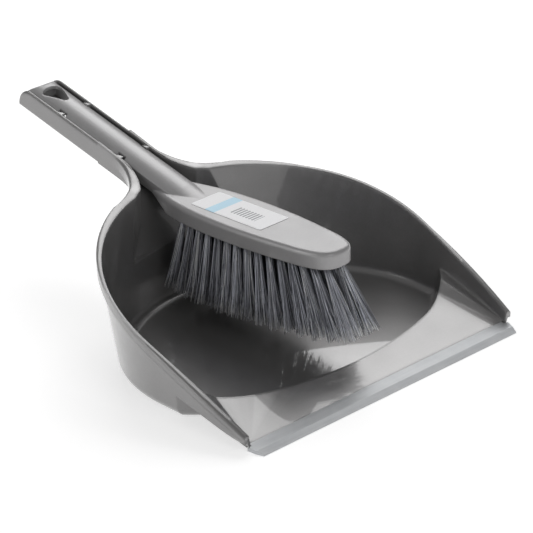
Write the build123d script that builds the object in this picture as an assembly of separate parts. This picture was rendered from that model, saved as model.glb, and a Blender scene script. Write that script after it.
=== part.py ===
from build123d import *
import math
import os

# Dustpan with a clip-in hand brush. Millimetres.
# +X right, the lip faces -Y, the handle points +Y, +Z up.
# Every function works with the lip's front edge at y = 0, and export_node moves the
# result so that the origin is the middle of the bounding box, on the floor.

# overall
LENGTH = 327.0
WALL = 2.0
FLOOR = 2.5
DRAFT = math.tan(math.radians(9.5))
TALL = 125.0
WIDE = 300.0
BEFORE_FRONT_Y = -40.0
UNDER_FLOOR_Z = -30.0
BODY_GAP = 0.3
PICK = 0.1

# bowl: straight sides in front, half an ellipse behind
BOWL_HALF_WIDTH = 113.0
BOWL_CENTRE_Y = 88.0
BOWL_DEPTH = 98.0
RIM_FRONT_Y = 10.4
FOOT_RADIUS_IN = 6.0
FOOT_RADIUS_OUT = 8.0
WELL_RADIUS_OUT = 6.0

# well: the deep part of the bowl, behind the ramp
WELL_FRONT_Y = 35.5
WELL_FLAT_HALF = 72.0
WELL_FLAT_Y = 44.7
WELL_CORNER_HALF = 124.0
WELL_CORNER_Y = 88.0
WELL_SKEW = 0.2
WELL_BACK_Y = 240.0

# ramp and lip
LIP_HALF_FRONT = 112.5
LIP_HALF_BACK = 116.0
LIP_BACK_Y = 12.8
RAMP_START_Z = 3.3
RAMP_SLOPE = 0.25
RAMP_THICK = 1.8
RAMP_END_Y = 110.0
UNDER_END_Y = 100.0
TONGUE_FRONT_Y = 8.0
TONGUE_THICK = 0.8
TONGUE_INSET = 4.0
TONGUE_ROOM = 0.1
LIP_ROOM = 0.1
LIP_SECTION = [(0, 0), (5.5, 0), (LIP_BACK_Y, RAMP_START_Z - RAMP_THICK),
               (LIP_BACK_Y, RAMP_START_Z + 0.1), (4.6, 2.5), (0, 0.7)]
LIP_SHOULDER_Y = RIM_FRONT_Y - 0.05

# cheeks: low ledges beside the ramp, sections as (distance from the middle, height)
CHEEK_FRONT = [(110.8, 3.35), (113.6, 4.2), (114.8, 4.4), (114.8, 2.4), (110.8, 2.4)]
CHEEK_BACK = [(90.4, 21.6), (104.0, 26.8), (118.0, 24.6), (118.0, 20.6), (90.4, 20.6)]
CHEEK_BACK_Y = 86.0

# crest of the rim, as heights along Y, from the front end to the handle's end
CREST_FRONT = (RIM_FRONT_Y, 10.4)
CREST_MIDDLE = [(50.0, 29.1), (100.0, 49.4), (150.0, 65.8), (195.0, 77.6), (232.0, 88.4)]
CREST_FRONT_SLOPE = 0.51
CREST_OVERRUN = 20.0
HANDLE_SLOPE = 0.235
HANDLE_START_Y = 232.0
HANDLE_START_Z = 88.4

# rolled rim
RIM_OUT_FRONT = 2.4
RIM_OUT_SIDE = 10.4
RIM_OUT_BACK = 20.6
RIM_DROP_FRONT = 4.5
RIM_DROP_BACK = 8.0
RIM_ROLL = 1.8

# neck lobes between the bowl and the handle
LOBE_CUSP = (46.7, 182.0)
LOBE_MIDDLE = (36.0, 192.6)
LOBE_INNER = (24.0, 199.5)
LOBE_FLOOR_Z = 38.0
LOBE_RIM_CUSP = 4.0
MIDDLE_SPREAD = (0.55, 0.9)
INNER_SPREAD = (0.6, 0.8)
NECK_RIM = 7.5
NECK_SWEEP_Y = 228.0
SWEEP_SPREAD = 1.2
NECK_END_Y = 250.0
NECK_FRONT_Y = 130.0
NECK_FLOOR_Y = 192.0
NECK_CHANNEL_Y = 217.0
NECK_CLIMB = (0.6, 1)

# pan handle: a channel open upwards
CHANNEL_HALF = 12.8
CHANNEL_WALL = 1.8
CHANNEL_DEPTH = 12.0
HANDLE_HEIGHT = 14.0
HANDLE_END_RADIUS = 12.0
HANDLE_EDGE_RADIUS = 1.5
HANDLE_ROOT_Y = 212.0
CHANNEL_ROOT_Y = 214.0
TAB_PLACES = (232.7, 288.5)
TAB_LENGTH = 5.0
TAB_REACH = 2.6
TAB_ROOT = 0.3
TAB_HEIGHT = 4.5
TAB_RISE = -0.6

# brush
BRUSH_HALF = 11.3
BRUSH_SHELL = 2.0
BRUSH_TOP = 2.0
BRUSH_SHOULDER = -2.0
BRUSH_DEPTH = 9.0
BRUSH_HOLLOW_Y = 212.0
BRUSH_HOLLOW_END = 4.0
HOLLOW_SHOULDER_DROP = 1.0
HOLLOW_DEPTH = 15.0
BRUSH_END_GAP = 2.4
HEAD_REFERENCE = (111.6, 78.6)
HEAD_TILT = -2.1
HEAD_THICK = 11.0
HEAD_EDGE_RADIUS = 3.0
HEAD_SIDE = [(0, 45.5), (10, 48.2), (15.2, 57), (18.6, 75), (21.6, 105), (22.3, 135), (20.6, 163),
             (16.8, 183), (12.8, 198), (10.4, 212)]
HEAD_REAR_SWEEP = [(184.0, 64.6), (216.0, 79.0)]
SADDLE_REACH = 14.0
SADDLE_RUN_IN = 6.0
SADDLE_SINK = 0.3
HANDLE_TOP_RUN = 40.0
NOTCH_CLEARANCE = 1.0
NOTCH_REACH = 5.6
NOTCH_HEIGHT = 21.0
HOLE_CENTRE_Y = 305.0
HOLE_POINT = 7.5
HOLE_BASE = 4.0
HOLE_HALF = 5.0
HOLE_RADIUS = 2.8
HOLE_DEPTH = 40.0

# label
LABEL_LENGTH = 62.0
LABEL_WIDTH = 25.5
LABEL_THICK = 0.25
LABEL_CENTRE_Y = 134.5
LABEL_CORNER = 1.5
LABEL_LIFT = 0.02

# tufts
TUFT_HOLE_RADIUS = 3.4
TUFT_ROOT_RADIUS = 3.3
TUFT_TIP_RADIUS = 4.4
TUFT_HOLE_DEPTH = 9.0
TUFT_LENGTH = 50.0
TUFT_ROOT_GAP = 0.2
EDGE_INSET = 6.2
OUTER_STATIONS = 15
OUTER_GUIDES = 8
OUTER_FROM = 0.055
OUTER_TO = 0.885
INNER_STATIONS = 11
INNER_FROM_Y = 75.0
INNER_TO_Y = 171.0
INNER_SHARE = 0.38
LEAN_BACK = 22.0
LEAN_LEVEL_Y = 150.0
LEAN_FRONT = 36.0
LEAN_OUT = 7.0
LEAN_CURVE = 1.5

# anchors: a flat strip of wire across each tuft hole
ANCHOR_LENGTH = 6.4
ANCHOR_HEIGHT = 2.0
ANCHOR_THICK = 0.5
ANCHOR_SLOT = 0.2


def export_node(name, shape):
    """Move a finished node to the shared origin and write it to its own file."""
    shape = Pos(0, -LENGTH / 2, 0) * shape
    shape.label = name
    export_step(shape, "parts/" + name + ".step")


def side_prism(face_wire, half_width=WIDE / 2):
    """A closed outline in the YZ plane, made into a prism across X."""
    return extrude(Plane.YZ * make_face(face_wire), amount=half_width, both=True)


def crest_curve(lower):
    """Crest line of the rim in the YZ plane, lowered by a drop that grows backwards."""
    drop_front, drop_back = lower
    end_y = LENGTH + CREST_OVERRUN
    points = []
    for y, z in [CREST_FRONT] + CREST_MIDDLE:
        share = min(1.0, (y - RIM_FRONT_Y) / (CREST_MIDDLE[-2][0] - RIM_FRONT_Y))
        points.append((y, z - drop_front - (drop_back - drop_front) * share))
    points.append((end_y, handle_crest(end_y) - drop_back))
    return Spline(points, tangents=[(1, CREST_FRONT_SLOPE), (1, HANDLE_SLOPE)])


def below_crest(lower):
    """Everything under the crest line, or under a lowered copy of it."""
    top = crest_curve(lower)
    front = top @ 0
    back = top @ 1
    start_z = front.Y - CREST_FRONT_SLOPE * (front.X - BEFORE_FRONT_Y)
    outline = top + Polyline(
        back, (back.X, -TALL), (BEFORE_FRONT_Y, -TALL), (BEFORE_FRONT_Y, start_z), front
    )
    return side_prism(outline)


def above_line(y_from, y_to, z_at_zero, slope, z_top=TALL):
    """Prism across X, above a straight sloping line."""
    return side_prism(Polyline(
        (y_from, z_at_zero + slope * y_from),
        (y_to, z_at_zero + slope * y_to),
        (y_to, z_top),
        (y_from, z_top),
        close=True,
    ))


def below_line(y_from, y_to, z_at_zero, slope, z_bottom=UNDER_FLOOR_Z):
    """Prism across X, below a straight sloping line."""
    return above_line(y_from, y_to, z_at_zero, slope, z_bottom)


def bowl_face(grow, front_y):
    """Plan of the bowl: parallel sides and an elliptical back."""
    half = BOWL_HALF_WIDTH + grow
    depth = BOWL_DEPTH + grow
    back = EllipticalCenterArc((0, BOWL_CENTRE_Y), half, depth, arc_size=180)
    sides = Polyline(
        (-half, BOWL_CENTRE_Y), (-half, front_y), (half, front_y), (half, BOWL_CENTRE_Y)
    )
    return make_face(back + sides)


def bowl_block(grow, front_y, z_from):
    """Bowl plan with drafted walls, from z_from upwards."""
    low = bowl_face(grow + DRAFT * z_from, front_y)
    high = bowl_face(grow + DRAFT * TALL, front_y)
    return loft([Pos(0, 0, z_from) * low, Pos(0, 0, TALL) * high], ruled=True)


def well_face(grow):
    """Plan of the well's front: a flat arc with a round corner on each side."""
    flat_x = WELL_FLAT_HALF + WELL_SKEW * grow
    flat_y = WELL_FLAT_Y - grow
    corner_x = WELL_CORNER_HALF + grow
    front = ThreePointArc((-flat_x, flat_y), (0, WELL_FRONT_Y - grow), (flat_x, flat_y))
    right = TangentArc((flat_x, flat_y), (corner_x, WELL_CORNER_Y), tangent=front % 1)
    left = TangentArc(
        (-flat_x, flat_y), (-corner_x, WELL_CORNER_Y), tangent=(front % 0) * -1
    )
    rest = Polyline(
        (corner_x, WELL_CORNER_Y), (corner_x, WELL_BACK_Y), (-corner_x, WELL_BACK_Y),
        (-corner_x, WELL_CORNER_Y),
    )
    return make_face(front + right + left + rest)


def well_block(grow, z_from):
    """Well plan with a drafted front, from z_from upwards."""
    low = well_face(grow + DRAFT * z_from)
    high = well_face(grow + DRAFT * TALL)
    return loft([Pos(0, 0, z_from) * low, Pos(0, 0, TALL) * high], ruled=True)


def rim_plan():
    """Plan of the rolled rim's outer edge: tangent arcs round the bowl, then the lobes."""
    half = BOWL_HALF_WIDTH + RIM_OUT_SIDE
    depth = BOWL_DEPTH + RIM_OUT_BACK
    cusp_x = LOBE_CUSP[0] + LOBE_RIM_CUSP
    cusp_angle = math.acos(cusp_x / half)
    widest = (half, BOWL_CENTRE_Y)
    shoulder = rim_point(half, depth, cusp_angle / 2)
    cusp = rim_point(half, depth, cusp_angle)
    front_half = LIP_HALF_BACK + RIM_OUT_FRONT
    side = TangentArc(widest, (front_half, RIM_FRONT_Y), tangent=(0, -1))
    first_arc = TangentArc(widest, shoulder, tangent=(0, 1))
    second_arc = TangentArc(shoulder, cusp, tangent=first_arc % 1)
    right = side + first_arc + second_arc + lobe_edge(NECK_RIM, cusp)
    left = mirror(right, Plane.YZ)
    handle_half = CHANNEL_HALF + CHANNEL_WALL
    back = Line((-handle_half, NECK_END_Y), (handle_half, NECK_END_Y))
    front = Line((-front_half, RIM_FRONT_Y), (front_half, RIM_FRONT_Y))
    return make_face(right + left + back + front)


def rim_point(half, depth, angle):
    """Point of the half ellipse that the rim's plan follows."""
    return (half * math.cos(angle), BOWL_CENTRE_Y + depth * math.sin(angle))


def lobe_edge(out, cusp):
    """Right-hand edge of the neck: a full lobe, then a sweep into the handle's side."""
    middle = (LOBE_MIDDLE[0] + MIDDLE_SPREAD[0] * out, LOBE_MIDDLE[1] + MIDDLE_SPREAD[1] * out)
    inner = (LOBE_INNER[0] + INNER_SPREAD[0] * out, LOBE_INNER[1] + INNER_SPREAD[1] * out)
    side = channel_side(out)
    lobe = ThreePointArc(cusp, middle, inner)
    start = (side, NECK_SWEEP_Y + SWEEP_SPREAD * out)
    neck_sweep = TangentArc(start, inner, tangent=(0, -1))
    straight = Line(start, (side, NECK_END_Y))
    return lobe + neck_sweep + straight


def channel_side(out):
    """Half width of the handle's channel, or of its outside when the outline is grown."""
    return CHANNEL_HALF + (CHANNEL_WALL if out > 0 else 0)


def handle_crest(y):
    """Height of the handle's straight crest line."""
    return HANDLE_START_Z + HANDLE_SLOPE * (y - HANDLE_START_Y)


def channel_void():
    """Open space inside the pan's handle."""
    z_at_zero = handle_crest(0) - CHANNEL_DEPTH
    void = above_line(CHANNEL_ROOT_Y, LENGTH - CHANNEL_WALL, z_at_zero, HANDLE_SLOPE)
    return void & Box(2 * CHANNEL_HALF, 4 * LENGTH, 4 * TALL)


def neck_floor(lower):
    """Prism above the neck's floor, which climbs from the bowl to the channel."""
    floor_z = LOBE_FLOOR_Z - lower
    foot = (NECK_FLOOR_Y + lower, floor_z)
    channel_z = handle_crest(NECK_CHANNEL_Y) - CHANNEL_DEPTH - lower
    end_z = handle_crest(NECK_END_Y) - CHANNEL_DEPTH - lower
    head = (NECK_CHANNEL_Y, channel_z)
    climb = Spline(foot, head, tangents=[NECK_CLIMB, (1, HANDLE_SLOPE)])
    rest = Polyline(
        head, (NECK_END_Y, end_z), (NECK_END_Y, TALL), (NECK_FRONT_Y, TALL),
        (NECK_FRONT_Y, floor_z), foot,
    )
    return side_prism(climb + rest)


def neck_block(out, lower):
    """Neck plan, from its climbing floor upwards."""
    right = lobe_edge(out, (LOBE_CUSP[0] + out, LOBE_CUSP[1]))
    left = mirror(right, Plane.YZ)
    side = channel_side(out)
    cusp_x = LOBE_CUSP[0] + out
    ends = Line((-side, NECK_END_Y), (side, NECK_END_Y))
    front = Polyline(
        (-cusp_x, LOBE_CUSP[1]), (-cusp_x, NECK_FRONT_Y), (cusp_x, NECK_FRONT_Y),
        (cusp_x, LOBE_CUSP[1]),
    )
    plan = extrude(make_face(right + left + ends + front), amount=TALL)
    return plan & neck_floor(lower)


def handle_block():
    """The pan's handle as a solid bar, round at its free end."""
    root_z = handle_crest(HANDLE_ROOT_Y)
    rise_y = LENGTH - HANDLE_END_RADIUS
    rise = (rise_y, handle_crest(rise_y))
    nose = (LENGTH, handle_crest(LENGTH) - HANDLE_END_RADIUS)
    outline = Polyline(
        nose, (LENGTH, handle_crest(LENGTH) - HANDLE_HEIGHT),
        (HANDLE_ROOT_Y, root_z - HANDLE_HEIGHT), (HANDLE_ROOT_Y, root_z), rise,
    ) + TangentArc(rise, nose, tangent=(1, HANDLE_SLOPE))
    half = CHANNEL_HALF + CHANNEL_WALL
    bar = side_prism(outline, half)
    long_edges = bar.edges().filter_by(
        lambda e: HANDLE_ROOT_Y + PICK < e.center().Y < LENGTH - PICK
    )
    side_edges = long_edges.filter_by(lambda e: abs(e.center().X) > half - PICK)
    return fillet(side_edges, HANDLE_EDGE_RADIUS)


def cheek(side):
    """Low ledge between the ramp and a side wall, narrow at the lip, wide at the well."""
    sections = []
    for y, points in ((LIP_BACK_Y, CHEEK_FRONT), (CHEEK_BACK_Y, CHEEK_BACK)):
        outline = Polyline([(side * x, z) for x, z in points], close=True)
        sections.append(Plane.XZ.offset(-y) * make_face(outline))
    return loft(sections, ruled=True)


def pan_tab(side, y):
    """Small block on the channel's wall that a notch of the brush drops over."""
    x = side * (CHANNEL_HALF + TAB_ROOT - (TAB_REACH + TAB_ROOT) / 2)
    z = handle_crest(y) - TAB_HEIGHT / 2 + TAB_RISE
    return Pos(x, y, z) * Box(TAB_REACH + TAB_ROOT, TAB_LENGTH, TAB_HEIGHT)


def rolled_rim():
    """Thick plate that follows the crest, with its outer top edge rounded over."""
    plate = extrude(rim_plan(), amount=TALL) & below_crest((0, 0))
    plate -= below_crest((RIM_DROP_FRONT, RIM_DROP_BACK))
    top = plate.faces().filter_by(lambda f: f.normal_at(f.center()).Z > 0.5)
    outer = top.edges().filter_by(
        lambda e: RIM_FRONT_Y + PICK < e.center().Y < NECK_END_Y - PICK
    )
    return fillet(outer, RIM_ROLL)


def ramp_sheet():
    """The ramp and the tongue that the lip is moulded round."""
    z_zero = RAMP_START_Z - RAMP_SLOPE * LIP_BACK_Y
    sheet = below_line(LIP_BACK_Y, RAMP_END_Y, z_zero, RAMP_SLOPE)
    sheet -= below_line(BEFORE_FRONT_Y, RAMP_END_Y + WALL, z_zero - RAMP_THICK, RAMP_SLOPE)
    sheet &= bowl_block(WALL / 2, BEFORE_FRONT_Y, 0)
    tongue_back_y = LIP_BACK_Y + WALL / 2
    tongue_z = RAMP_START_Z - RAMP_THICK / 2
    tongue = Pos(0, (TONGUE_FRONT_Y + tongue_back_y) / 2, tongue_z) * Box(
        2 * (LIP_HALF_FRONT - TONGUE_INSET), tongue_back_y - TONGUE_FRONT_Y, TONGUE_THICK
    )
    return sheet + tongue


def pan_moulding():
    """Bowl, ramp, rolled rim and channel handle, one moulding."""
    z_zero = RAMP_START_Z - RAMP_SLOPE * LIP_BACK_Y

    shell = bowl_block(WALL, RIM_FRONT_Y, 0)
    foot = shell.faces().sort_by(Axis.Z)[0].edges()
    shell = fillet(foot.filter_by(lambda e: e.center().Y > RIM_FRONT_Y + PICK), FOOT_RADIUS_OUT)
    well_outside = well_block(WALL, 0)
    foot = well_outside.faces().sort_by(Axis.Z)[0].edges()
    well_outside = fillet(
        foot.filter_by(lambda e: e.center().Y < WELL_CORNER_Y - PICK), WELL_RADIUS_OUT
    )
    under = below_line(BEFORE_FRONT_Y, UNDER_END_Y, z_zero - RAMP_THICK, RAMP_SLOPE)
    shell -= under - well_outside
    shell = (shell + neck_block(WALL, WALL)) & below_crest((0, 0))

    pan = shell + rolled_rim() + handle_block()
    pan -= bowl_block(0, BEFORE_FRONT_Y, 0) & above_line(
        BEFORE_FRONT_Y, NECK_END_Y, z_zero, RAMP_SLOPE
    )
    pan -= Pos(0, LIP_BACK_Y - TALL / 2, 0) * Box(2 * LIP_HALF_FRONT + LIP_ROOM, TALL, TALL)
    pan += ramp_sheet()
    pan += cheek(1)
    pan += cheek(-1)
    pan -= well_void()
    pan -= neck_block(0, 0)
    pan -= channel_void()
    pan -= hanging_hole()
    for side in (-1, 1):
        for y in TAB_PLACES:
            pan += pan_tab(side, y)
    return pan


def well_void():
    """Open space of the well, with a round foot."""
    void = bowl_block(0, BEFORE_FRONT_Y, FLOOR) & well_block(0, FLOOR)
    foot = void.faces().sort_by(Axis.Z)[0].edges()
    return fillet(foot, FOOT_RADIUS_IN)


def head_edge():
    """Edge of the brush head's plan, from the rear left corner round the nose to the right."""
    left = [(-x, y) for x, y in reversed(HEAD_SIDE[1:])]
    return Spline(left + HEAD_SIDE, tangents=[(-0.12, -1), (-0.12, 1)])


def head_frame(y, depth):
    """Point on the head's tilted plane, a given depth below its flat top."""
    slope = math.tan(math.radians(HEAD_TILT))
    return HEAD_REFERENCE[1] + slope * (y - HEAD_REFERENCE[0]) - depth


def head_place(shape):
    """Put a shape modelled flat, with the top at z = 0, onto the tilted head."""
    pivot = Pos(0, HEAD_REFERENCE[0], HEAD_REFERENCE[1])
    return pivot * Rot(HEAD_TILT, 0, 0) * Pos(0, -HEAD_REFERENCE[0], 0) * shape


def brush_head():
    """Head block: a flat top with a rounded edge, its underside swept up at the rear."""
    edge = head_edge()
    plan = make_face(edge + Line(edge @ 1, edge @ 0))
    block = Pos(0, 0, -HEAD_THICK) * extrude(plan, amount=HEAD_THICK)
    top_edges = block.faces().sort_by(Axis.Z)[-1].edges()
    block = head_place(fillet(top_edges, HEAD_EDGE_RADIUS))
    sweep_from, sweep_to = HEAD_REAR_SWEEP
    return block - side_prism(Polyline(
        (sweep_from[0], 0), sweep_from, sweep_to, (sweep_to[0], 0), close=True
    ))


def arch(half, shoulder, top, depth):
    """Section of the brush handle: straight sides under an arched top."""
    outline = Polyline((-half, shoulder), (-half, -depth), (half, -depth), (half, shoulder))
    outline += ThreePointArc((half, shoulder), (0, top), (-half, shoulder))
    return make_face(outline)


def handle_path(y_end):
    """Line of the brush handle: along the head, a concave bend, then up the handle."""
    head_slope = math.tan(math.radians(HEAD_TILT))
    head_zero = head_frame(0, BRUSH_TOP + SADDLE_SINK)
    meet_y = (head_zero - handle_crest(0)) / (HANDLE_SLOPE - head_slope)
    meet = Vector(0, meet_y, handle_crest(meet_y))
    along_head = Vector(0, 1, head_slope).normalized()
    along_handle = Vector(0, 1, HANDLE_SLOPE).normalized()
    bend_from = meet - along_head * SADDLE_REACH
    bend_to = meet + along_handle * SADDLE_REACH
    first = bend_from - along_head * SADDLE_RUN_IN
    last = meet + along_handle * (y_end + SADDLE_RUN_IN - meet_y)
    bend = TangentArc(bend_from, bend_to, tangent=along_head)
    return Line(first, bend_from) + bend + Line(bend_to, last), first, along_head


def brush_handle():
    """Handle of the brush, round at its free end and clear of the head's underside."""
    y_end = LENGTH - CHANNEL_WALL - BRUSH_END_GAP
    path, first, along_head = handle_path(y_end)
    section = arch(BRUSH_HALF, BRUSH_SHOULDER, BRUSH_TOP, BRUSH_DEPTH)
    bar = sweep(Plane(origin=first, x_dir=(-1, 0, 0), z_dir=along_head) * section, path)
    end_radius = HANDLE_END_RADIUS - BRUSH_END_GAP
    rise_y = y_end - end_radius
    rise = (rise_y, handle_crest(rise_y) + BRUSH_TOP)
    nose = (y_end, rise[1] + HANDLE_SLOPE * end_radius - end_radius)
    head_y = HEAD_REAR_SWEEP[0][0] + WALL
    run_y = first.Y - SADDLE_RUN_IN
    top_y = rise_y - HANDLE_TOP_RUN
    outline = Polyline(
        nose, (y_end, 0), (head_y, 0), (head_y, head_frame(head_y, HEAD_THICK)),
        (run_y, head_frame(run_y, HEAD_THICK)), (run_y, TALL), (top_y, TALL),
        (top_y, handle_crest(top_y) + BRUSH_TOP + BODY_GAP), rise,
    ) + TangentArc(rise, nose, tangent=(1, HANDLE_SLOPE))
    return bar & side_prism(outline)


def brush_hollow():
    """Space inside the brush handle."""
    shoulder = BRUSH_SHOULDER - HOLLOW_SHOULDER_DROP
    section = arch(BRUSH_HALF - BRUSH_SHELL, shoulder, BRUSH_TOP - BRUSH_SHELL, HOLLOW_DEPTH)
    y_end = LENGTH - CHANNEL_WALL - BRUSH_END_GAP - BRUSH_SHELL - BRUSH_HOLLOW_END
    start = Plane(
        origin=(0, BRUSH_HOLLOW_Y, handle_crest(BRUSH_HOLLOW_Y)), x_dir=(-1, 0, 0), z_dir=(0, 1, 0)
    )
    run = Vector(0, y_end - BRUSH_HOLLOW_Y, HANDLE_SLOPE * (y_end - BRUSH_HOLLOW_Y))
    return extrude(start * section, dir=run, amount=run.length)


def hanging_hole():
    """Rounded triangle through the handle, its point towards the head."""
    point = (0, HOLE_CENTRE_Y - HOLE_POINT)
    base_y = HOLE_CENTRE_Y + HOLE_BASE
    plan = make_face(Polyline(point, (HOLE_HALF, base_y), (-HOLE_HALF, base_y), close=True))
    plan = offset(plan, HOLE_RADIUS, kind=Kind.ARC)
    return Pos(0, 0, handle_crest(HOLE_CENTRE_Y) - HOLE_DEPTH) * extrude(plan, amount=TALL)


def outer_row():
    """Line of the outer tufts' roots, inside the right-hand edge of the head."""
    edge = head_edge()
    points = []
    for i in range(OUTER_GUIDES + 1):
        u = 0.5 + (OUTER_TO - 0.5) * i / OUTER_GUIDES
        along = edge % u
        points.append(edge @ u + Vector(-along.Y, along.X) * EDGE_INSET)
    return Spline(points)


def tuft_stations():
    """Name, root point and direction of every tuft."""
    stations = []
    edge = head_edge()
    row = outer_row()
    for side, word in ((-1, "left"), (1, "right")):
        for i in range(OUTER_STATIONS):
            place = row @ (OUTER_FROM + (1 - OUTER_FROM) * i / (OUTER_STATIONS - 1))
            name = f"tuft_outer_{word}_{i + 1:02d}"
            stations.append(tuft_station(name, side, place.X, place.Y, LEAN_OUT))
        for i in range(INNER_STATIONS):
            y = INNER_FROM_Y + (INNER_TO_Y - INNER_FROM_Y) * i / (INNER_STATIONS - 1)
            x = INNER_SHARE * (half_width_at(edge, y) - EDGE_INSET)
            name = f"tuft_inner_{word}_{i + 1:02d}"
            stations.append(tuft_station(name, side, x, y, INNER_SHARE * LEAN_OUT))
    return stations


def half_width_at(edge, y):
    """Half width of the head's plan at a given place along it."""
    crossing = edge.intersect(Axis((0, y, 0), (1, 0, 0)))
    return max(point.X for point in crossing.vertices())


def tuft_station(name, side, x, y, lean_out):
    """Root on the head's underside; rear tufts lean back, front tufts fan forwards."""
    nose_y = HEAD_SIDE[0][1]
    if y > LEAN_LEVEL_Y:
        lean = LEAN_BACK * (y - LEAN_LEVEL_Y) / (HEAD_SIDE[-1][1] - LEAN_LEVEL_Y)
    else:
        share = (LEAN_LEVEL_Y - y) / (LEAN_LEVEL_Y - nose_y)
        lean = -LEAN_FRONT * share ** LEAN_CURVE
    root = Vector(side * x, y, head_frame(y, HEAD_THICK))
    run = Vector(
        side * math.tan(math.radians(lean_out)), math.tan(math.radians(lean)), -1
    ).normalized()
    return name, root, run


def tuft_plane(root, run):
    """Frame of a tuft: origin at its root, Z along the filaments."""
    return Plane(origin=root, x_dir=Vector(1, 0, 0) - run * run.X, z_dir=run)


def tuft(root, run):
    """One bundle of filaments with its root end folded round the anchor."""
    root_length = TUFT_HOLE_DEPTH - TUFT_ROOT_GAP
    shank = Pos(0, 0, -root_length) * Cylinder(
        TUFT_ROOT_RADIUS, root_length, align=(Align.CENTER, Align.CENTER, Align.MIN)
    )
    flare = Cone(
        TUFT_ROOT_RADIUS, TUFT_TIP_RADIUS, TUFT_LENGTH,
        align=(Align.CENTER, Align.CENTER, Align.MIN),
    )
    slot = Pos(0, 0, -root_length) * Box(
        2 * TUFT_HOLE_RADIUS, ANCHOR_THICK + 2 * ANCHOR_SLOT, 2 * (ANCHOR_HEIGHT + ANCHOR_SLOT)
    )
    return tuft_plane(root, run) * (shank + flare - slot)


def tuft_hole(root, run):
    """Blind hole in the head for one tuft."""
    hole = Pos(0, 0, -TUFT_HOLE_DEPTH) * Cylinder(
        TUFT_HOLE_RADIUS, 1.5 * TUFT_HOLE_DEPTH, align=(Align.CENTER, Align.CENTER, Align.MIN)
    )
    return tuft_plane(root, run) * hole


def anchor(root, run):
    """Flat strip of wire across a tuft's hole, in the fold of the filaments."""
    middle = -TUFT_HOLE_DEPTH + TUFT_ROOT_GAP + ANCHOR_HEIGHT / 2
    strip = Pos(0, 0, middle) * Box(ANCHOR_LENGTH, ANCHOR_THICK, ANCHOR_HEIGHT)
    return tuft_plane(root, run) * strip


def notch(side, y):
    """Cut in the brush handle's side that clears a tab of the pan, open below."""
    top = handle_crest(y) + TAB_RISE + NOTCH_CLEARANCE
    return Pos(side * BRUSH_HALF, y, top - NOTCH_HEIGHT / 2) * Box(
        NOTCH_REACH, TAB_LENGTH + 2 * NOTCH_CLEARANCE, NOTCH_HEIGHT
    )


def brush_body(stations):
    """Head and handle of the brush, one moulding."""
    body = brush_head() + brush_handle()
    body -= brush_hollow()
    body -= hanging_hole()
    for side in (-1, 1):
        for y in TAB_PLACES:
            body -= notch(side, y)
    body -= [tuft_hole(root, run) for _, root, run in stations]
    return body


def brush_label():
    """Thin self-adhesive label on the head's flat top."""
    plate = Box(
        LABEL_WIDTH, LABEL_LENGTH, LABEL_THICK, align=(Align.CENTER, Align.CENTER, Align.MIN)
    )
    plate = fillet(plate.edges().filter_by(Axis.Z), LABEL_CORNER)
    return head_place(Pos(0, LABEL_CENTRE_Y, LABEL_LIFT) * plate)


def pan_lip():
    """Soft scraper strip: bevelled nose, ridge, flat band, groove round the tongue."""
    strip = side_prism(Polyline(LIP_SECTION, close=True))
    plan = make_face(Polyline(
        (-LIP_HALF_FRONT, 0), (LIP_HALF_FRONT, 0), (LIP_HALF_BACK, LIP_SHOULDER_Y),
        (LIP_HALF_FRONT, LIP_SHOULDER_Y), (LIP_HALF_FRONT, LIP_BACK_Y),
        (-LIP_HALF_FRONT, LIP_BACK_Y), (-LIP_HALF_FRONT, LIP_SHOULDER_Y),
        (-LIP_HALF_BACK, LIP_SHOULDER_Y), close=True,
    ))
    strip &= extrude(plan, amount=TALL, both=True)
    groove_z = RAMP_START_Z - RAMP_THICK / 2
    groove_front_y = TONGUE_FRONT_Y - TONGUE_ROOM
    strip -= Pos(0, (groove_front_y + LIP_BACK_Y + WALL) / 2, groove_z) * Box(
        2 * (LIP_HALF_FRONT - TONGUE_INSET + TONGUE_ROOM),
        LIP_BACK_Y + WALL - groove_front_y,
        TONGUE_THICK + TONGUE_ROOM,
    )
    return strip


os.makedirs("parts", exist_ok=True)
STATIONS = tuft_stations()
export_node("pan_moulding", pan_moulding())
export_node("pan_lip", pan_lip())
export_node("brush_body", brush_body(STATIONS))
export_node("brush_label", brush_label())
export_node("tuft_anchors", Compound([anchor(root, run).solid() for _, root, run in STATIONS]))
for tuft_name, tuft_root, tuft_run in STATIONS:
    export_node(tuft_name, tuft(tuft_root, tuft_run))
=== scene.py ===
import math

import bpy
import numpy as np
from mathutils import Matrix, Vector


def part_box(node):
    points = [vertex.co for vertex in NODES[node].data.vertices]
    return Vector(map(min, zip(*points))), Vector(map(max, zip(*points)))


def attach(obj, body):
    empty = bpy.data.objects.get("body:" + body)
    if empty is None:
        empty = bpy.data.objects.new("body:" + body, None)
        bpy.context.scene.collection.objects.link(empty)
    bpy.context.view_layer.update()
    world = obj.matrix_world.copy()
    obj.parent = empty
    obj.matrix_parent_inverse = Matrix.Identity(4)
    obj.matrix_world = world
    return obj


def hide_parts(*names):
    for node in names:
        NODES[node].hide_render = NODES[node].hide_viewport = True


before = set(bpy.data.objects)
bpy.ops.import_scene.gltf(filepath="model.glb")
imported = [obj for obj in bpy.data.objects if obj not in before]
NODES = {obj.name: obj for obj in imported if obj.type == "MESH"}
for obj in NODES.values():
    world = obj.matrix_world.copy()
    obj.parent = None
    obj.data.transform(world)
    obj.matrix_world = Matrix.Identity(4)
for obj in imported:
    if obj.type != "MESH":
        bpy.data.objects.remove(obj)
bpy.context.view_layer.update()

# Dustpan with a parked hand brush. Metres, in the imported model's frame: +X right,
# -Y towards the lip, +Y towards the handle, +Z up from the floor.

MM = 0.001
SEED = 41

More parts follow.
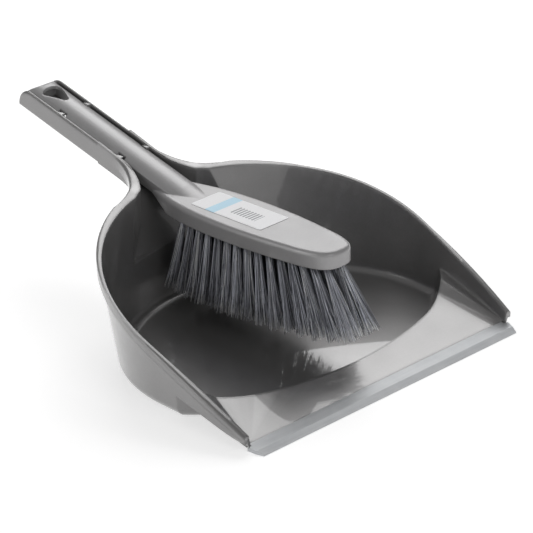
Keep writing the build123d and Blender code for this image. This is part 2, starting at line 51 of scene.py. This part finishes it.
# camera: azimuth 0 looks along +Y, lens and sensor are in millimetres
CAMERA_PLACE = Vector((-1.2706, -1.3245, 0.9216))
CAMERA_AZIMUTH = math.radians(-44.977)
CAMERA_ELEVATION = math.radians(25.936)
CAMERA_LENS = 216.1
CAMERA_SENSOR = 36.0
CAMERA_CLIP_END = 50

# bristles: each CAD tuft becomes a bundle of filaments
FILAMENTS = 92
FILAMENT_RINGS = 6
FILAMENT_SIDES = 3
FILAMENT_RADIUS = 0.21 * MM
TIP_RADIUS_SHARE = 0.75
ROOT_DISC = 2.1 * MM
TIP_DISC = 5.3 * MM
DISC_SCATTER = 0.06          # share of a disc's radius
ROOT_IN_HOLE = 9.3 * MM      # how far below the CAD tuft's top the filaments start
STRANDS = 6                  # clumps that the filaments of a tuft gather into
STRAND_DISC_SHARE = 0.8
STRAND_PULL = 0.7            # 0 leaves the filaments apart, 1 puts them on the strand
TIP_SCATTER = 1.2 * MM
BEND = 2.2 * MM
SHORTEST = 0.9               # share of the tuft's free length
LENGTH_CURVE = 0.6           # below 1, long filaments are the commoner
SPREAD_CURVE = 2.2           # above 1, a bundle opens late
FAN_SPREAD = 0.9             # the FAN values act on tufts that lean towards the lip
FAN_CLOSE = 0.6
FAN_CURVE = 1.5
OUTER_PAINTED_LIGHT_TOP = 1.0        # top of the range of tone and painted light in the outer rows
# inner rows painted almost black: painted shade where the outer rows cover them
INNER_PAINTED_SHADE_TOP = 0.06
ROOT_TO_TIP = [
    (0.0, (0.34, 0.345, 0.385)), (0.12, (0.54, 0.55, 0.60)),
    (0.85, (0.48, 0.49, 0.54)), (1.0, (0.72, 0.73, 0.76)),
]
# per-filament colour multipliers: partly random tone, but the dark end is painted shade in the
# gaps and values above 1 are painted highlights
FILAMENT_TONE_AND_PAINTED_LIGHT = [
    (0.0, (0.08, 0.085, 0.1)), (0.35, (0.6, 0.6, 0.62)),
    (0.7, (1.4, 1.4, 1.4)), (1.0, (2.2, 2.2, 2.2)),
]

# patterns: noise scales are per metre, so a higher one is finer
NOISE_LOW, NOISE_HIGH = 0.3, 0.7     # a noise pattern's values are mostly between these
WORN_LOW, WORN_HIGH = 0.53, 0.62     # pointiness where wear starts and where it is full
EDGE_SAMPLES = 6
FLOW_SCALE = 16                      # clouds left by the plastic's flow in the mould
FLOW_STRETCH = (1, 0.35, 1)
GRAIN_SCALE = 900
HANDLING_SCALE = 55
LIP_STREAK_SCALE = 12
LIP_STREAK_STRETCH = (1, 40, 40)
LIP_CLOUD_SCALE = 60
WIRE_LINE_SCALE = 30
WIRE_LINE_STRETCH = (1, 60, 60)
PAPER_SCALE = 1800

# label: shares of its length from the nose end, and of its width from the left
LABEL_BAND = (0.66, 0.79)
LABEL_BLOCK_ALONG = (0.20, 0.56)
LABEL_BLOCK_ACROSS = (0.28, 0.66)
LABEL_BARS = 24                      # in the whole length, of which the block shows some
LABEL_BAR_GAP = 0.5                  # share of the bar spacing
LABEL_BLUE = (0.47, 0.76, 0.93)
LABEL_INK = (0.22, 0.23, 0.25)

# studio
ROOM_LIGHT = 0.26
FLOOR_HALF = 6.0
FLOOR_GREY = (0.86, 0.86, 0.86, 1)
FLOOR_GLOW = 0.52
WHITE = (1, 1, 1, 1)

rng = np.random.default_rng(SEED)


# ---------------------------------------------------------------- nodes

def new_material(name):
    """Empty node material with a Principled shader wired to its output."""
    material = bpy.data.materials.new(name)
    material.use_nodes = True
    tree = material.node_tree
    tree.nodes.clear()
    output = tree.nodes.new("ShaderNodeOutputMaterial")
    shader = tree.nodes.new("ShaderNodeBsdfPrincipled")
    tree.links.new(shader.outputs["BSDF"], output.inputs["Surface"])
    return material, tree, shader


def object_coordinates(tree, stretch=(1, 1, 1)):
    """Object coordinates, stretched for directional grain."""
    coordinates = tree.nodes.new("ShaderNodeTexCoord")
    mapping = tree.nodes.new("ShaderNodeMapping")
    mapping.inputs["Scale"].default_value = stretch
    tree.links.new(coordinates.outputs["Object"], mapping.inputs["Vector"])
    return mapping.outputs["Vector"]


def noise(tree, vector, scale, detail, roughness=0.5, distortion=0.0):
    """Noise pattern, 0 to 1."""
    node = tree.nodes.new("ShaderNodeTexNoise")
    node.inputs["Scale"].default_value = scale
    node.inputs["Detail"].default_value = detail
    node.inputs["Roughness"].default_value = roughness
    node.inputs["Distortion"].default_value = distortion
    tree.links.new(vector, node.inputs["Vector"])
    return node.outputs["Fac"]


def ramp(tree, value, stops):
    """Colour ramp through (position, colour) stops."""
    node = tree.nodes.new("ShaderNodeValToRGB")
    elements = node.color_ramp.elements
    while len(elements) < len(stops):
        elements.new(0.5)
    for element, (position, colour) in zip(elements, stops):
        element.position = position
        element.color = (*colour, 1)
    tree.links.new(value, node.inputs["Fac"])
    return node.outputs["Color"]


def two_tone(tree, pattern, dark, light):
    """Colour that runs from dark to light with a noise pattern."""
    return ramp(tree, pattern, [(NOISE_LOW, dark), (NOISE_HIGH, light)])


def spread(tree, value, low, high, from_low=0.0, from_high=1.0):
    """Value rescaled to run from low to high."""
    node = tree.nodes.new("ShaderNodeMapRange")
    node.inputs["From Min"].default_value = from_low
    node.inputs["From Max"].default_value = from_high
    node.inputs["To Min"].default_value = low
    node.inputs["To Max"].default_value = high
    tree.links.new(value, node.inputs["Value"])
    return node.outputs["Result"]


def calculate(tree, operation, first, second=None):
    """Result of a Math node; the second operand is a socket, a constant or absent."""
    node = tree.nodes.new("ShaderNodeMath")
    node.operation = operation
    tree.links.new(first, node.inputs[0])
    if isinstance(second, bpy.types.NodeSocket):
        tree.links.new(second, node.inputs[1])
    elif second is not None:
        node.inputs[1].default_value = second
    return node.outputs[0]


def band(tree, value, low, high):
    """1 where value lies between low and high, 0 elsewhere."""
    above = calculate(tree, "GREATER_THAN", value, low)
    below = calculate(tree, "LESS_THAN", value, high)
    return calculate(tree, "MULTIPLY", above, below)


def mix(tree, factor, first, second, blend="MIX"):
    """Mix of two colours; factor and colours are sockets or constants."""
    node = tree.nodes.new("ShaderNodeMix")
    node.data_type = "RGBA"
    node.blend_type = blend
    node.clamp_result = True
    for socket, value in ((node.inputs[0], factor), (node.inputs[6], first),
                          (node.inputs[7], second)):
        if isinstance(value, bpy.types.NodeSocket):
            tree.links.new(value, socket)
        elif isinstance(value, tuple):
            socket.default_value = (*value, 1)
        else:
            socket.default_value = value
    return node.outputs[2]


def soft_edges(tree, radius):
    """Normal that rolls over every sharp edge by a small radius."""
    node = tree.nodes.new("ShaderNodeBevel")
    node.samples = EDGE_SAMPLES
    node.inputs["Radius"].default_value = radius
    return node.outputs["Normal"]


def bump(tree, height, distance, strength, under=None):
    """Bump from a height pattern, on top of another normal if one is given."""
    node = tree.nodes.new("ShaderNodeBump")
    node.inputs["Distance"].default_value = distance
    node.inputs["Strength"].default_value = strength
    tree.links.new(height, node.inputs["Height"])
    if under is not None:
        tree.links.new(under, node.inputs["Normal"])
    return node.outputs["Normal"]


def worn_edges(tree, wear_noise):
    """Mask that is bright on convex edges and broken up by noise."""
    geometry = tree.nodes.new("ShaderNodeNewGeometry")
    edge = spread(tree, geometry.outputs["Pointiness"], 0.0, 1.0, WORN_LOW, WORN_HIGH)
    return calculate(tree, "MULTIPLY", edge, wear_noise)


# ---------------------------------------------------------------- materials

def moulded_plastic(name, dark, light, worn, metallic, rough, coat, coat_rough, edge):
    """Grey plastic with metallic pigment: flow clouds, fine grain, soft worn edges."""
    material, tree, shader = new_material(name)
    flow = noise(tree, object_coordinates(tree, FLOW_STRETCH), FLOW_SCALE,
                 detail=4, roughness=0.55, distortion=0.6)
    grain = noise(tree, object_coordinates(tree), GRAIN_SCALE, detail=2)
    handling = noise(tree, object_coordinates(tree), HANDLING_SCALE, detail=5, roughness=0.6)
    flecks = two_tone(tree, grain, (0.95, 0.95, 0.955), (1.0, 1.0, 1.0))
    base = mix(tree, 1.0, two_tone(tree, flow, dark, light), flecks, "MULTIPLY")
    wear = worn_edges(tree, handling)
    tree.links.new(mix(tree, wear, base, worn), shader.inputs["Base Color"])
    tree.links.new(spread(tree, handling, rough[0], rough[1], NOISE_LOW, NOISE_HIGH),
                   shader.inputs["Roughness"])
    surface = bump(tree, grain, distance=0.015 * MM, strength=0.2, under=soft_edges(tree, edge))
    surface = bump(tree, flow, distance=0.12 * MM, strength=0.1, under=surface)
    tree.links.new(surface, shader.inputs["Normal"])
    shader.inputs["Metallic"].default_value = metallic
    shader.inputs["Specular IOR Level"].default_value = 0.5
    shader.inputs["Coat Weight"].default_value = coat
    shader.inputs["Coat Roughness"].default_value = coat_rough
    return material


def lip_plastic():
    """Soft bluish plastic of the lip: satin, with faint lines drawn along its length."""
    material, tree, shader = new_material("lip_soft_plastic")
    streak = noise(tree, object_coordinates(tree, LIP_STREAK_STRETCH), LIP_STREAK_SCALE,
                   detail=3)
    cloud = noise(tree, object_coordinates(tree), LIP_CLOUD_SCALE, detail=4)
    base = two_tone(tree, streak, (0.33, 0.345, 0.365), (0.42, 0.435, 0.455))
    wear = worn_edges(tree, cloud)
    tree.links.new(mix(tree, wear, base, (0.6, 0.61, 0.62)), shader.inputs["Base Color"])
    tree.links.new(spread(tree, cloud, 0.28, 0.42), shader.inputs["Roughness"])
    tree.links.new(bump(tree, streak, distance=0.05 * MM, strength=0.3),
                   shader.inputs["Normal"])
    shader.inputs["Specular IOR Level"].default_value = 0.45
    shader.inputs["Metallic"].default_value = 0.2
    return material


def filament_nylon():
    """Nylon filaments: dark at the root, palest at the tip, each with its own tone plus painted
    light and shade.
    """
    material, tree, shader = new_material("filament_nylon")
    uv = tree.nodes.new("ShaderNodeUVMap")
    split = tree.nodes.new("ShaderNodeSeparateXYZ")
    tree.links.new(uv.outputs["UV"], split.inputs["Vector"])
    along = ramp(tree, split.outputs["X"], ROOT_TO_TIP)
    # tone and painted light per filament: dark for painted shade, above white for painted
    # highlights
    tone_and_painted_light = ramp(tree, split.outputs["Y"], FILAMENT_TONE_AND_PAINTED_LIGHT)
    tree.links.new(mix(tree, 1.0, along, tone_and_painted_light, "MULTIPLY"), shader.inputs["Base Color"])
    crimp = noise(tree, object_coordinates(tree), GRAIN_SCALE, detail=2)
    tree.links.new(spread(tree, crimp, 0.3, 0.5), shader.inputs["Roughness"])
    tree.links.new(bump(tree, crimp, distance=0.05 * MM, strength=0.2),
                   shader.inputs["Normal"])
    shader.inputs["Specular IOR Level"].default_value = 0.5
    return material


def anchor_steel():
    """Drawn flat wire: bright, with lines along its length."""
    material, tree, shader = new_material("anchor_steel")
    lines = noise(tree, object_coordinates(tree, WIRE_LINE_STRETCH), WIRE_LINE_SCALE, detail=3)
    base = two_tone(tree, lines, (0.45, 0.45, 0.46), (0.68, 0.68, 0.69))
    tree.links.new(base, shader.inputs["Base Color"])
    tree.links.new(spread(tree, lines, 0.2, 0.4), shader.inputs["Roughness"])
    tree.links.new(bump(tree, lines, distance=0.02 * MM, strength=0.3),
                   shader.inputs["Normal"])
    shader.inputs["Metallic"].default_value = 1.0
    return material


def label_print():
    """White label: a pale blue band near the handle end and a block of plain grey bars."""
    material, tree, shader = new_material("label_print")
    low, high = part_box("brush_label")
    place = tree.nodes.new("ShaderNodeSeparateXYZ")
    tree.links.new(object_coordinates(tree), place.inputs["Vector"])
    along = spread(tree, place.outputs["Y"], 0, 1, low.y, high.y)
    across = spread(tree, place.outputs["X"], 0, 1, low.x, high.x)

    fibres = noise(tree, object_coordinates(tree), PAPER_SCALE, detail=3)
    colour = two_tone(tree, fibres, (0.88, 0.88, 0.90), (0.95, 0.95, 0.96))
    colour = mix(tree, band(tree, along, *LABEL_BAND), colour, LABEL_BLUE)

    count = spread(tree, place.outputs["Y"], 0, LABEL_BARS, low.y, high.y)
    ink = calculate(tree, "GREATER_THAN", calculate(tree, "FRACT", count), LABEL_BAR_GAP)
    for value, span in ((along, LABEL_BLOCK_ALONG), (across, LABEL_BLOCK_ACROSS)):
        ink = calculate(tree, "MULTIPLY", ink, band(tree, value, *span))
    colour = mix(tree, ink, colour, LABEL_INK)
    tree.links.new(colour, shader.inputs["Base Color"])
    tree.links.new(spread(tree, fibres, 0.25, 0.4), shader.inputs["Roughness"])
    tree.links.new(bump(tree, fibres, distance=0.01 * MM, strength=0.3),
                   shader.inputs["Normal"])
    return material


def dress(node_name, material):
    """Give a CAD node its material."""
    slots = NODES[node_name].data.materials
    slots.clear()
    slots.append(material)


# ---------------------------------------------------------------- bristles

def tuft_line(node):
    """Root and tip of a tuft's centre line, from its CAD solid's longest direction."""
    points = np.array([vertex.co for vertex in node.data.vertices])
    centre = points.mean(axis=0)
    axis = np.linalg.svd(points - centre, full_matrices=False)[2][0]
    if axis[2] > 0:
        axis = -axis
    reach = (points - centre) @ axis
    return centre + axis * reach.min(), centre + axis * reach.max()


def disc_points(count, radius):
    """Points of an even spiral in a disc, each moved by a little scatter."""
    turn = np.arange(count) * math.pi * (3 - math.sqrt(5))
    distance = radius * np.sqrt((np.arange(count) + 0.5) / count)
    points = np.stack([distance * np.cos(turn), distance * np.sin(turn)], axis=1)
    return points + rng.normal(0, radius * DISC_SCATTER, points.shape)


def filament_lines(top, tip):
    """Centre lines of one tuft's filaments, as an array of filament x ring x 3.

    The more a tuft leans towards the lip, the closer its tip is drawn to the middle, and the
    wider and sooner its filaments open, which narrows the gaps round the head's nose.
    """
    axis = tip - top
    full = np.linalg.norm(axis)
    axis = axis / full
    forward = max(0.0, -axis[1])
    tip = tip * (1 - FAN_CLOSE * forward, 1, 1)
    axis = (tip - top) / np.linalg.norm(tip - top)
    side = np.cross(axis, (0, 1, 0))
    side /= np.linalg.norm(side)
    other = np.cross(axis, side)

    tip_disc = TIP_DISC * (1 + FAN_SPREAD * forward)
    start = disc_points(FILAMENTS, ROOT_DISC)
    own = start * (tip_disc / ROOT_DISC)
    strands = disc_points(STRANDS, tip_disc * STRAND_DISC_SHARE)
    nearest = np.argmin(np.linalg.norm(own[:, None] - strands[None], axis=2), axis=1)
    end = own + STRAND_PULL * (strands[nearest] - own)
    end += rng.normal(0, TIP_SCATTER, end.shape)
    bend = rng.normal(0, BEND, end.shape)
    reach = full - ROOT_IN_HOLE
    length = reach * (SHORTEST + (1 - SHORTEST) * rng.random(FILAMENTS) ** LENGTH_CURVE)

    t = np.linspace(0, 1, FILAMENT_RINGS)[None, :, None]
    flat = start[:, None] + (end - start)[:, None] * t ** (SPREAD_CURVE - FAN_CURVE * forward)
    flat = flat + bend[:, None] * t * (1 - t)
    down = ROOT_IN_HOLE + length[:, None, None] * t
    return top + axis * down + side * flat[:, :, :1] + other * flat[:, :, 1:]


def filament_mesh(name, lines, painted_light_top):
    """Thin closed tubes along the lines. U runs from root to tip, V is the tube's own tone with
    painted light and shade.
    """
    count, rings = lines.shape[:2]
    tangent = np.gradient(lines, axis=1)
    tangent /= np.linalg.norm(tangent, axis=2, keepdims=True)
    side = np.cross(tangent, (0, 1, 0))
    side /= np.linalg.norm(side, axis=2, keepdims=True)
    other = np.cross(tangent, side)
    t = np.linspace(0, 1, rings)
    radius = FILAMENT_RADIUS * (1 - (1 - TIP_RADIUS_SHARE) * t)
    turn = 2 * math.pi * np.arange(FILAMENT_SIDES) / FILAMENT_SIDES
    ring = (side[:, :, None] * np.cos(turn)[None, None, :, None]
            + other[:, :, None] * np.sin(turn)[None, None, :, None])
    points = lines[:, :, None] + ring * radius[None, :, None, None]

    faces = []
    for i in range(count):
        first = i * rings * FILAMENT_SIDES
        for j in range(rings - 1):
            for k in range(FILAMENT_SIDES):
                a = first + j * FILAMENT_SIDES + k
                b = first + j * FILAMENT_SIDES + (k + 1) % FILAMENT_SIDES
                faces.append((a, b, b + FILAMENT_SIDES, a + FILAMENT_SIDES))
        faces.append(tuple(first + k for k in reversed(range(FILAMENT_SIDES))))
        last = first + (rings - 1) * FILAMENT_SIDES
        faces.append(tuple(last + k for k in range(FILAMENT_SIDES)))
    mesh = bpy.data.meshes.new(name)
    mesh.from_pydata(points.reshape(-1, 3).tolist(), [], faces)

    # each filament's tone with painted light and shade, up to the given top
    tone_and_painted_light = painted_light_top * rng.random(count)
    per_point = np.stack([
        np.tile(np.repeat(t, FILAMENT_SIDES), count),
        np.repeat(tone_and_painted_light, rings * FILAMENT_SIDES),
    ], axis=1)
    corners = np.zeros(len(mesh.loops), dtype=np.int32)
    mesh.loops.foreach_get("vertex_index", corners)
    layer = mesh.uv_layers.new(name="UVMap")
    layer.data.foreach_set("uv", per_point[corners].astype(np.float32).ravel())
    mesh.polygons.foreach_set("use_smooth", np.ones(len(mesh.polygons), dtype=bool))
    return mesh


def bristle_tufts(material):
    """A bundle of filaments in place of every CAD tuft."""
    names = sorted(n for n in NODES if n.startswith("tuft_") and n != "tuft_anchors")
    for name in names:
        top, tip = tuft_line(NODES[name])
        # outer tufts take the full range up to painted highlights; inner tufts are painted dark
        # as shade
        painted_light_top = OUTER_PAINTED_LIGHT_TOP if "outer" in name else INNER_PAINTED_SHADE_TOP
        mesh = filament_mesh(name.replace("tuft", "bristles", 1), filament_lines(top, tip),
                             painted_light_top)
        mesh.materials.append(material)
        bundle = bpy.data.objects.new(mesh.name, mesh)
        bpy.context.scene.collection.objects.link(bundle)
        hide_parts(name)
        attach(bundle, "brush")


# ---------------------------------------------------------------- studio

def area_light(name, place, target, size, power):
    """Large soft light that looks at a target and isn't seen itself."""
    data = bpy.data.lights.new(name, "AREA")
    data.shape = "RECTANGLE"
    data.size, data.size_y = size
    data.energy = power
    light = bpy.data.objects.new(name, data)
    light.location = place
    light.rotation_mode = "QUATERNION"
    light.rotation_quaternion = (Vector(target) - Vector(place)).to_track_quat("-Z", "Y")
    light.visible_camera = False
    bpy.context.scene.collection.objects.link(light)


def floor():
    """Pale floor, partly self-lit so that it stays near white."""
    corners = [(-FLOOR_HALF, -FLOOR_HALF, 0), (FLOOR_HALF, -FLOOR_HALF, 0),
               (FLOOR_HALF, FLOOR_HALF, 0), (-FLOOR_HALF, FLOOR_HALF, 0)]
    mesh = bpy.data.meshes.new("studio_floor")
    mesh.from_pydata(corners, [], [(0, 1, 2, 3)])
    plane = bpy.data.objects.new("studio_floor", mesh)
    bpy.context.scene.collection.objects.link(plane)
    material, tree, shader = new_material("studio_floor")
    shader.inputs["Base Color"].default_value = FLOOR_GREY
    shader.inputs["Roughness"].default_value = 0.9
    shader.inputs["Emission Color"].default_value = WHITE
    shader.inputs["Emission Strength"].default_value = FLOOR_GLOW
    mesh.materials.append(material)


def studio():
    """Soft light: a large box behind, smaller ones on the left and in front, a dim room."""
    world = bpy.data.worlds.new("studio")
    world.use_nodes = True
    background = world.node_tree.nodes["Background"]
    background.inputs["Color"].default_value = WHITE
    background.inputs["Strength"].default_value = ROOM_LIGHT
    bpy.context.scene.world = world
    area_light("back_box", place=(1.05, 0.75, 1.15), target=(0, 0, 0.03),
               size=(1.5, 1.3), power=14.5)
    area_light("left_box", place=(-1.5, 0.5, 0.8), target=(0, 0, 0.05),
               size=(0.9, 1.0), power=5)
    area_light("front_box", place=(-0.3, -1.9, 1.3), target=(0, 0, 0.05),
               size=(1.0, 0.6), power=5.5)


def camera():
    """Camera at the photograph's viewing angle."""
    data = bpy.data.cameras.new("camera")
    data.lens = CAMERA_LENS
    data.sensor_width = CAMERA_SENSOR
    data.sensor_fit = "HORIZONTAL"
    data.clip_end = CAMERA_CLIP_END
    view = bpy.data.objects.new("camera", data)
    view.location = CAMERA_PLACE
    back = Vector((
        math.sin(CAMERA_AZIMUTH) * math.cos(CAMERA_ELEVATION),
        -math.cos(CAMERA_AZIMUTH) * math.cos(CAMERA_ELEVATION),
        math.sin(CAMERA_ELEVATION),
    ))
    view.rotation_mode = "QUATERNION"
    view.rotation_quaternion = (-back).to_track_quat("-Z", "Y")
    bpy.context.scene.collection.objects.link(view)
    bpy.context.scene.camera = view


# ---------------------------------------------------------------- build

pan_plastic = moulded_plastic(
    "pan_plastic", dark=(0.222, 0.218, 0.217), light=(0.256, 0.251, 0.25),
    worn=(0.42, 0.415, 0.415), metallic=0.55, rough=(0.3, 0.38),
    coat=1.0, coat_rough=0.035, edge=3.2 * MM,
)
brush_plastic = moulded_plastic(
    "brush_plastic", dark=(0.35, 0.344, 0.347), light=(0.39, 0.384, 0.387),
    worn=(0.5, 0.5, 0.5), metallic=0.35, rough=(0.36, 0.46),
    coat=0.35, coat_rough=0.2, edge=1.5 * MM,
)
dress("pan_moulding", pan_plastic)
dress("brush_body", brush_plastic)
dress("pan_lip", lip_plastic())
dress("brush_label", label_print())
dress("tuft_anchors", anchor_steel())
bristle_tufts(filament_nylon())
floor()
studio()
camera()
bpy.context.scene.view_settings.view_transform = "Standard"
